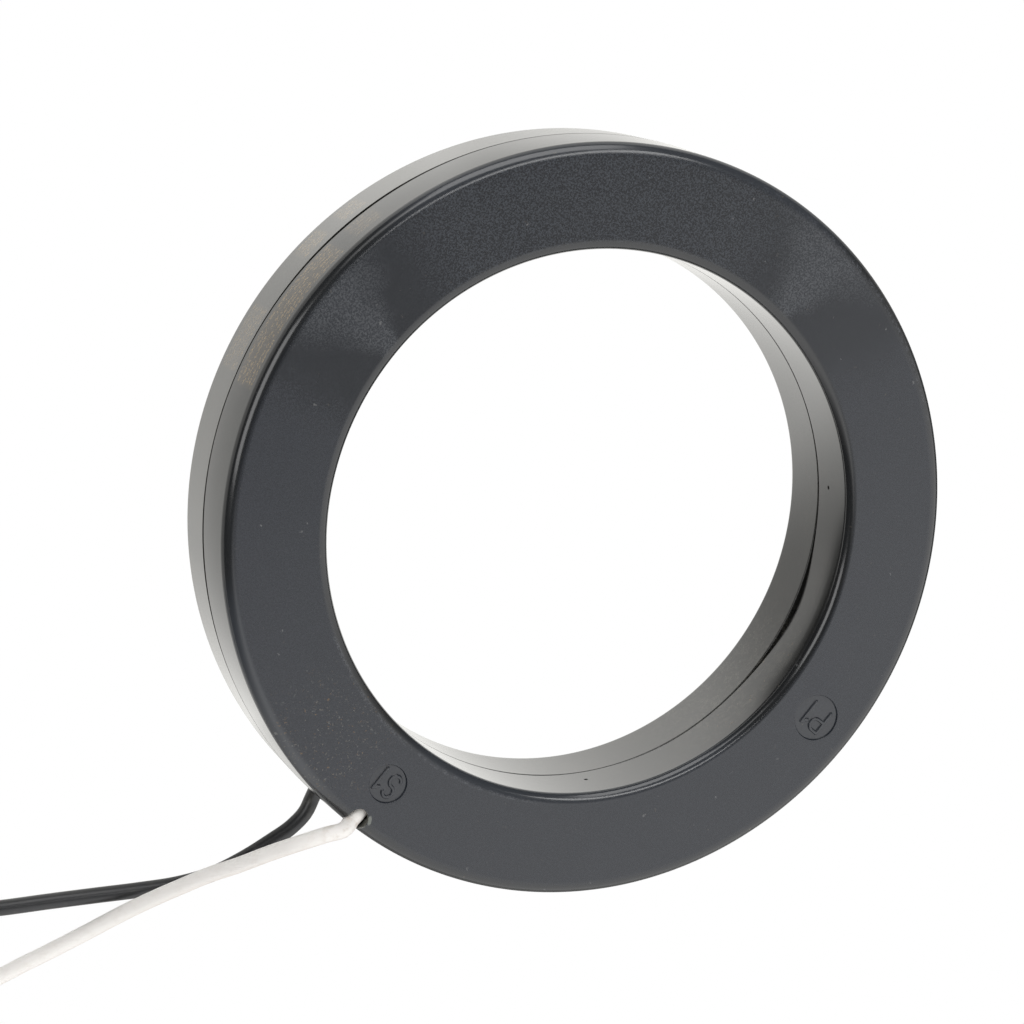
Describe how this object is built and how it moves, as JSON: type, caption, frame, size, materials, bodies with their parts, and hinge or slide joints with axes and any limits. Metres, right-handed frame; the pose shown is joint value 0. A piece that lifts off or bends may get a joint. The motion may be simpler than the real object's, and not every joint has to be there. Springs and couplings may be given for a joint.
{
  "type": "window-type current transformer",
  "caption": "Round black moulded window-type current transformer with a white and a black flying lead, for a cable or busbar passed through its open centre.",
  "frame": {"origin": "middle of the rear face, on the window's axis", "axes": "+Z along the window's axis from the rear face to the marked front face, the leads leave towards -Y, +X towards the second mark"},
  "size_m": [0.1695, 0.278, 0.0309],
  "materials": {
    "case_plastic": "satin moulded black plastic, dusty",
    "core_steel": "tape-wound silicon steel",
    "core_wrap": "woven insulating tape",
    "enamelled_wire": "enamelled copper",
    "outer_wrap": "polyester film tape",
    "white_insulation": "off-white lead insulation, lightly soiled",
    "black_insulation": "satin black lead insulation",
    "crimp_metal": "tin plated",
    "sleeve_film": "heat-shrunk sleeve",
    "bare_strands": "tinned copper strands",
    "tie_plastic": "natural nylon"
  },
  "bodies": {
    "root": {"front_shell": "case_plastic", "rear_shell": "case_plastic", "core": "core_steel", "core_tape": "core_wrap", "secondary_winding": "enamelled_wire", "winding_tape": "outer_wrap", "white_lead_tail": "white_insulation", "black_lead_tail": "black_insulation", "white_splice": "crimp_metal", "black_splice": "crimp_metal", "white_splice_sleeve": "sleeve_film", "black_splice_sleeve": "sleeve_film", "white_lead": "white_insulation", "black_lead": "black_insulation", "white_lead_coil": "white_insulation", "black_lead_coil": "black_insulation", "white_lead_end": "bare_strands", "black_lead_end": "bare_strands", "white_coil_tie": "tie_plastic", "black_coil_tie": "tie_plastic"}
  },
  "joints": []
}
